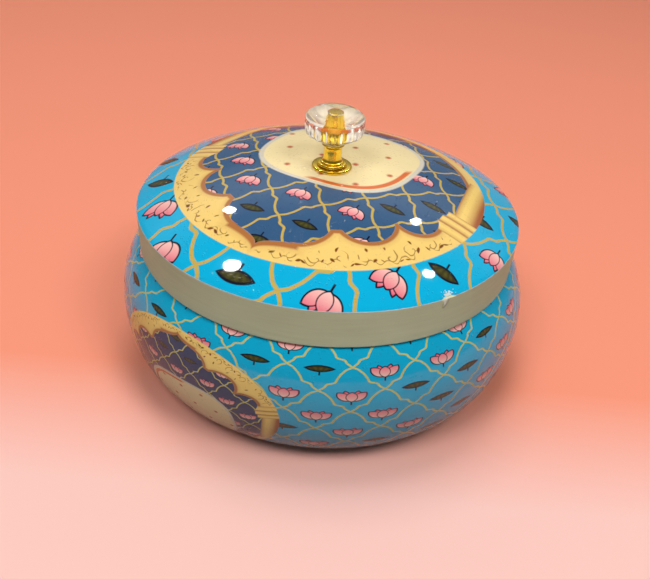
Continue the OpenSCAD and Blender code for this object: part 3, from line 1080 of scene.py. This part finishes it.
def crystal_finish(name, bore):
    """Clear cut glass, with painted light below TAPER_TOP and outside the bore: matt white
    patches.
    """
    f = Finish(name)
    polish = f.noise(500.0, 2.0)
    clear = f.surface(
        Base_Color=f.blend(ink(255, 253, 250), ink(255, 250, 244), polish),
        Roughness=polish * 0.02, IOR=GLASS_IOR, Transmission_Weight=1.0,
        Normal=f.relief(polish, 0.00002, 0.2))
    ground = f.surface(
        # Matt white glass: painted light where cut glass would gather light and send it up
        Base_Color=f.blend(ink(255, 252, 246), ink(240, 232, 220), polish),
        Roughness=0.5)
    x, y, z = f.parts(f.place)
    radius = f.pair(x, y).vector_math("LENGTH")
    underside = ((z - TAPER_TOP * MM).inside(0.0006)
                 * (radius - (bore + BORE_CLEAR) * MM).outside(0.0004))
    painted_light_patches = (f.noise(LIGHT_PATCHES_PER_M, 0.0) - 0.5).outside(0.2)
    painted_light_patches = painted_light_patches * (1 - LIGHT_PATCH_LEAST) + LIGHT_PATCH_LEAST
    f.add_output(f.add("ShaderNodeMixShader", inputs={
        0: underside * painted_light_patches * PAINTED_LIGHT_SHARE, 1: clear, 2: ground}))
    return f.material


print("glass bends light by", GLASS_IOR)

# %% [markdown]
# ## The bare band
# The CAD's band is made of flat facets. A finer one with the same section
# catches the light smoothly, and a slow wave of a few hundredths of a
# millimetre shows that it was smoothed by hand.

# %% Band
MOUTH_R, STEP_R, BAND_LOW_R, BAND_ROUND, STEP_H = 88.0, 91.5, 95.3, 0.8, 86.97
BAND_RINGS, BAND_SEGMENTS = 12, 360
WAVE_DEEP = 0.035
UNDER_PRINT = PRINT_T * 1.13            # measured upright, where the dome slopes


def hand_smoothed(r, z, turn):
    """Draws the band's outer face in by a wave that runs round it."""
    if r < STEP_R + 1:
        return r, z
    wave = math.sin(turn * 5 + z * 0.12) + 0.6 * math.sin(turn * 11 - z * 0.3)
    return r - WAVE_DEEP * (1.6 + wave), z


section = [(MOUTH_R, SEAT_H)]
for tilt in range(-90, 1, 18):
    section.append((BAND_LOW_R - BAND_ROUND + BAND_ROUND * math.cos(math.radians(tilt)),
                    SEAT_H + BAND_ROUND + BAND_ROUND * math.sin(math.radians(tilt))))
for i in range(1, BAND_RINGS + 1):
    t = i / BAND_RINGS
    section.append((BAND_LOW_R + (LID_R - BAND_LOW_R) * t,
                    SEAT_H + BAND_ROUND + (edge_low - SEAT_H - BAND_ROUND) * t))
section += [(r, dome_height(r) - UNDER_PRINT) for r in (94.5, 93.0, STEP_R)]
section += [(STEP_R, STEP_H), (MOUTH_R, STEP_H)]
turned("band_smoothed", section, BAND_SEGMENTS, "lid", "bare_band", ["lid_rim"], band,
       reach=hand_smoothed)

# %% [markdown]
# ## Gold base and post
# Both were turned on a lathe, so they are sections too. A lathe tool leaves
# flats, beads and coves, and the section is written in the same words: from
# the flange up past two beads and a cove to the stem, and out to the cup that
# the glass sits in.

# %% Gold
KNOB_SEAT, GLASS_SEAT = 108.0, 121.0
COVE_FROM_R, STEM_R, COVE_LOW, COVE_RISE, COVE_STEPS = 5.1, 4.4, 3.9, 1.5, 5
CUP_R, CUP_TOP = 5.3, 13.0
POST_R, POST_TOP, POST_ROUND = 3.7, 134.4, 0.74
SPIGOT_R, SPIGOT_LONG = 2.4, 3.5


def arc(middle_r, middle_z, radius, first, last, steps=6):
    """Points of an arc from one tilt to another, in degrees."""
    tilts = [math.radians(first + (last - first) * i / steps) for i in range(steps + 1)]
    return [(middle_r + radius * math.cos(t), middle_z + radius * math.sin(t))
            for t in tilts]


flange = [(0, 0)] + arc(9.25, 0.75, 0.75, -90, 90)
beads = arc(6.7, 2.3, 0.8, -90, 90) + arc(5.55, 3.45, 0.35, -60, 80)
cove = [(COVE_FROM_R - (COVE_FROM_R - STEM_R) * math.sin(t / COVE_STEPS * math.pi / 2),
         COVE_LOW + COVE_RISE * t / COVE_STEPS) for t in range(COVE_STEPS + 1)]
stem = [(STEM_R, 7.0), (STEM_R, 9.2), (STEM_R, 10.4), (4.55, 11.0), (5.0, 11.8)]
cup = arc(CUP_R, 12.35, 0.3, -30, 60, 4) + [(CUP_R, CUP_TOP), (0, CUP_TOP)]
turned("knob_base_turned",
       [(r, z + KNOB_SEAT) for r, z in flange + beads + cove + stem + cup],
       128, "lid", "gold_plate", ["knob_base"], gold)

spigot_low = GLASS_SEAT - SPIGOT_LONG
post = [(0, spigot_low), (SPIGOT_R, spigot_low), (SPIGOT_R, GLASS_SEAT),
        (POST_R, GLASS_SEAT)]
post += arc(POST_R - POST_ROUND, POST_TOP - POST_ROUND, POST_ROUND, 0, 90)
turned("knob_post_turned", post + [(0, POST_TOP)], 96, "lid", "gold_plate",
       ["knob_post"], gold)

# %% [markdown]
# ## The crystal's flutes
# The glass is cut with flutes, shallow hollows that run up its side and down
# its taper. Each could be cut by a Boolean, which is slow and leaves slivers.
# The same hollow repeats twenty times, so a Geometry Nodes tree draws the
# turned glass in wherever a point's angle falls in one. Its maths is written
# with the same sockets as the print's, and each size is a named input.

# %% Flutes
FLUTE_SIZES = {"Flutes": 20.0, "Width share": 0.76, "Cut share": 0.036,
               "Top": 133.6 * MM, "Top fade": 2.2 * MM,
               "Seat": GLASS_SEAT * MM, "Seat fade": 2.0 * MM, "Seat share": 0.2,
               "Bore": POST_R * MM}


class Shaper(Finish):
    """A Geometry Nodes tree, written with the same maths as a finish."""

    def __init__(self, name, sizes):
        self.tree = bpy.data.node_groups.new(name, "GeometryNodeTree")
        sockets = self.tree.interface
        sockets.new_socket("Mesh", in_out="INPUT", socket_type="NodeSocketGeometry")
        sockets.new_socket("Mesh", in_out="OUTPUT", socket_type="NodeSocketGeometry")
        self.identifiers = {
            label: sockets.new_socket(label, in_out="INPUT",
                                      socket_type="NodeSocketFloat").identifier
            for label in sizes}
        self.given = self.tree.nodes.new("NodeGroupInput")
        self.place = self.add("GeometryNodeInputPosition")

    def given_as(self, label):
        """The named input of the tree."""
        return Socket(self, self.given.outputs[label])


def flute_tree(material):
    """The tree that moves each point of the glass towards the axis."""
    f = Shaper("flutes", FLUTE_SIZES)
    x, y, z = f.parts(f.place)
    radius = f.pair(x, y).vector_math("LENGTH")
    beat = (y.math("ARCTAN2", x) * f.given_as("Flutes") / math.tau).math("FRACT")
    near = abs(beat - 0.5) * 2 / f.given_as("Width share")
    hollow = (1 - near * near).most(0.0)
    high = ((f.given_as("Top") - z) / f.given_as("Top fade")).most(0.0).least(1.0)
    low = (z - f.given_as("Seat")) / f.given_as("Seat fade") + f.given_as("Seat share")
    outside_bore = radius.math("GREATER_THAN", f.given_as("Bore"))
    drawn = 1 - f.given_as("Cut share") * hollow * high * low.least(1.0) * outside_bore
    moved = f.add("ShaderNodeCombineXYZ", inputs={0: x * drawn, 1: y * drawn, 2: z})
    cut = f.add("GeometryNodeSetPosition",
                inputs={"Geometry": f.given_as("Mesh"), "Position": moved})
    real = f.add("GeometryNodeRealizeInstances", inputs={"Geometry": cut})
    dressed = f.add("GeometryNodeSetMaterial",
                    inputs={"Geometry": real, "Material": material})
    result = f.tree.nodes.new("NodeGroupOutput")
    f.tree.links.new(dressed.socket, result.inputs["Mesh"])
    return f


def cut_flutes(thing):
    """Runs the tree on an object and leaves it with a plain mesh."""
    shaper = flute_tree(thing.data.materials[0])
    cutter = thing.modifiers.new("flutes", "NODES")
    cutter.node_group = shaper.tree
    for label, value in FLUTE_SIZES.items():
        cutter[shaper.identifiers[label]] = value
    before = thing.data
    seen = thing.evaluated_get(bpy.context.evaluated_depsgraph_get())
    after = bpy.data.meshes.new_from_object(seen)
    thing.modifiers.remove(cutter)
    thing.data = after
    deepest = max((a.co - b.co).length for a, b in zip(before.vertices, after.vertices))
    print(int(FLUTE_SIZES["Flutes"]), "flutes,", round(deepest / MM, 2), "mm deep")


print("flutes will be", FLUTE_SIZES["Width share"], "of their step wide")

# %% [markdown]
# ## The crystal
# The glass itself is turned: a shallow crown, a rounded rim, an upright side
# and a taper down to the cup. Its bore is a trace smaller than the post,
# because an air gap round the post would mirror the room, and the gold
# wouldn't show.

# %% Crystal
GLASS_R, CROWN_TOP, CROWN_RISE, RIM_ROUND = 14.5, 138.6, 3.0, 1.7
RIM_TOP = CROWN_TOP - CROWN_RISE
CROWN_R = (GLASS_R ** 2 + CROWN_RISE ** 2) / (2 * CROWN_RISE)
CORNER_R, CORNER_H = GLASS_R - 0.7, 126.4
BORE_R, BORE_TOP = POST_R - 0.05, POST_TOP - 0.05


def crown_height(r):
    """Height of the crown at radius r: the cap of a wide sphere."""
    return CROWN_TOP - CROWN_R + math.sqrt(CROWN_R ** 2 - r ** 2)


glass = [(0, CROWN_TOP)]
glass += [(r, crown_height(r)) for r in (1.5, 3, 4.5, 6, 7.5, 9, 10.5, 11.6)]
glass += arc(GLASS_R - RIM_ROUND, RIM_TOP - RIM_ROUND - 0.1, RIM_ROUND, 70, 0, 7)
glass += [(GLASS_R, z) for z in (133.0, 132.2, 131.0, 129.0)]
glass += [(GLASS_R - 0.1, 127.6), (CORNER_R, CORNER_H)]
glass += [(CUP_R + (CORNER_R - CUP_R) * t, GLASS_SEAT + (CORNER_H - GLASS_SEAT) * t)
          for t in (0.8, 0.6, 0.4, 0.2)]
glass += [(CUP_R, GLASS_SEAT), (BORE_R, GLASS_SEAT), (BORE_R, BORE_TOP), (0, BORE_TOP)]
turned("knob_crystal_cut", glass, 360, "lid", "crystal", ["knob_crystal"],
       crystal_finish("crystal_cut", POST_R), sharp=28.0, carve=cut_flutes)

# %% [markdown]
# ## Finishes for the pieces that stay as the CAD made them
# The shell, the collar, the linings, the board, the screw and its washer have
# the right shape already, so they keep the CAD's mesh and only get a better
# material.

# %% Dress the CAD pieces
DRESS = {"bowl_shell": pulp, "bowl_collar": pulp, "lid_dome": pulp,
         "bowl_lining": lining, "lid_lining": lining, "bowl_base": board,
         "knob_screw": steel, "knob_washer": steel}
for node, material in DRESS.items():
    slots = nodes[node].material_slots
    if not slots:
        nodes[node].data.materials.append(material)
    for slot in slots:
        slot.material = material
print(len(DRESS), "CAD pieces dressed")

# %% [markdown]
# ## Sizes, and the end
# The dressed box has to keep the CAD's size, so its size is printed.

# %% Finish
low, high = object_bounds()
print("visual box in mm:", [round((h - l) / MM, 1) for l, h in zip(low, high)])
